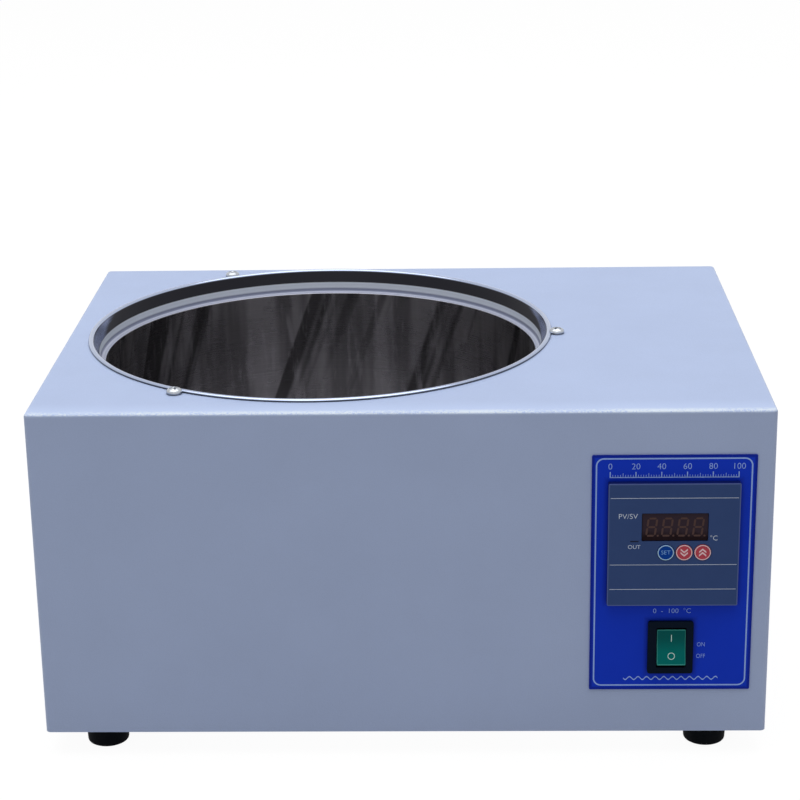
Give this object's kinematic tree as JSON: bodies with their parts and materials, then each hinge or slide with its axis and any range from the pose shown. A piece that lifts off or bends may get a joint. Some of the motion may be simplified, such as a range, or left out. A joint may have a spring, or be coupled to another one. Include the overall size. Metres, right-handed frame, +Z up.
{
  "type": "laboratory water bath",
  "caption": "Bench water bath: a round steel tank sunk in a painted sheet metal case, with a digital controller and a rocker switch beside it and a drain cock at the back.",
  "frame": {"origin": "the middle of the object's footprint, on the plane that its feet stand on", "axes": "+X to the right seen from the front, where the controls are; +Y to the back; +Z up"},
  "size_m": [0.415, 0.3544, 0.2102],
  "materials": {
    "case_paint": "light blue-grey powder coat on sheet steel",
    "polished_steel": "spun stainless steel, polished",
    "brushed_steel": "stainless steel, satin",
    "plated_steel": "plated steel fasteners",
    "galvanised_sheet": "galvanised sheet steel",
    "brass": "machined brass",
    "black_rubber": "moulded black rubber",
    "black_plastic": "moulded black plastic",
    "insulation_wool": "pressed mineral wool",
    "label_blue": "deep blue plastic label plate",
    "slate_plastic": "moulded slate blue plastic",
    "board_green": "green circuit board",
    "display_red": "dark red tinted window, unlit",
    "key_navy": "moulded navy plastic",
    "key_red": "moulded coral red plastic",
    "rocker_green": "green translucent plastic",
    "wire_red": "red silicone wire insulation",
    "wire_grey": "grey wire insulation"
  },
  "bodies": {
    "root": {"outer_case": "case_paint", "base_plate": "galvanised_sheet", "foot_front_left": "black_rubber", "foot_front_right": "black_rubber", "foot_back_left": "black_rubber", "foot_back_right": "black_rubber", "foot_screw_front_left": "plated_steel", "foot_screw_front_right": "plated_steel", "foot_screw_back_left": "plated_steel", "foot_screw_back_right": "plated_steel", "side_screw_left_front": "plated_steel", "side_screw_left_back": "plated_steel", "side_screw_right_front": "plated_steel", "side_screw_right_back": "plated_steel", "tank": "polished_steel", "rim_screw_front": "plated_steel", "rim_screw_right": "plated_steel", "rim_screw_back": "plated_steel", "rim_nut_front": "plated_steel", "rim_nut_right": "plated_steel", "rim_nut_back": "plated_steel", "insulation_jacket": "insulation_wool", "heater_tube": "brushed_steel", "heater_nut_back": "plated_steel", "heater_nut_front": "plated_steel", "sensor_probe": "brushed_steel", "sensor_nut": "plated_steel", "label_plate": "label_blue", "controller_bezel": "slate_plastic", "controller_housing": "black_plastic", "controller_board": "board_green", "controller_clamp_left": "galvanised_sheet", "controller_clamp_right": "galvanised_sheet", "display_window": "display_red", "display_module": "black_plastic", "switch_body": "black_plastic", "rocker_pin": "plated_steel", "mains_inlet": "black_plastic", "inlet_pin_line": "brass", "inlet_pin_earth": "brass", "inlet_pin_neutral": "brass", "inlet_screw_left": "plated_steel", "inlet_screw_right": "plated_steel", "fuse_holder": "black_plastic", "power_relay": "black_plastic", "drain_pipe": "brushed_steel", "drain_cock_body": "brass", "heater_wire_back": "wire_red", "heater_wire_front": "wire_red", "sensor_wire": "wire_grey", "mains_wire": "wire_grey"},
    "rocker": {"rocker": "rocker_green"},
    "set_key": {"set_key": "key_navy"},
    "down_key": {"down_key": "key_red"},
    "up_key": {"up_key": "key_red"},
    "shelf": {"perforated_shelf": "brushed_steel"},
    "fuse_cap": {"fuse_cap": "black_plastic"},
    "drain_lever": {"drain_plug": "brass", "drain_lever": "plated_steel", "lever_nut": "plated_steel"}
  },
  "joints": [
    {"name": "rocker_tilt", "type": "hinge", "parent": "root", "child": "rocker", "pos_m": [0.14977, -0.17028, 0.06795], "axis": [1, 0, 0], "range_deg": [0, 16]},
    {"name": "set_key_press", "type": "slide", "parent": "root", "child": "set_key", "axis": [0, 1, 0], "range_m": [0, 0.0005], "stiffness_N_per_m": 200, "springref_m": -0.0005},
    {"name": "down_key_press", "type": "slide", "parent": "root", "child": "down_key", "axis": [0, 1, 0], "range_m": [0, 0.0005], "stiffness_N_per_m": 200, "springref_m": -0.0005},
    {"name": "up_key_press", "type": "slide", "parent": "root", "child": "up_key", "axis": [0, 1, 0], "range_m": [0, 0.0005], "stiffness_N_per_m": 200, "springref_m": -0.0005},
    {"name": "shelf_lift", "type": "slide", "parent": "root", "child": "shelf", "axis": [0, 0, 1], "range_m": [0, 0.16]},
    {"name": "fuse_cap_turn", "type": "hinge", "parent": "root", "child": "fuse_cap", "pos_m": [0.14977, 0.13467, 0.115], "axis": [0, 1, 0], "range_deg": [0, 90]},
    {"name": "drain_lever_turn", "type": "hinge", "parent": "root", "child": "drain_lever", "pos_m": [-0.0518, 0.14917, 0.0394], "axis": [0, 0, 1], "range_deg": [0, 90]}
  ]
}
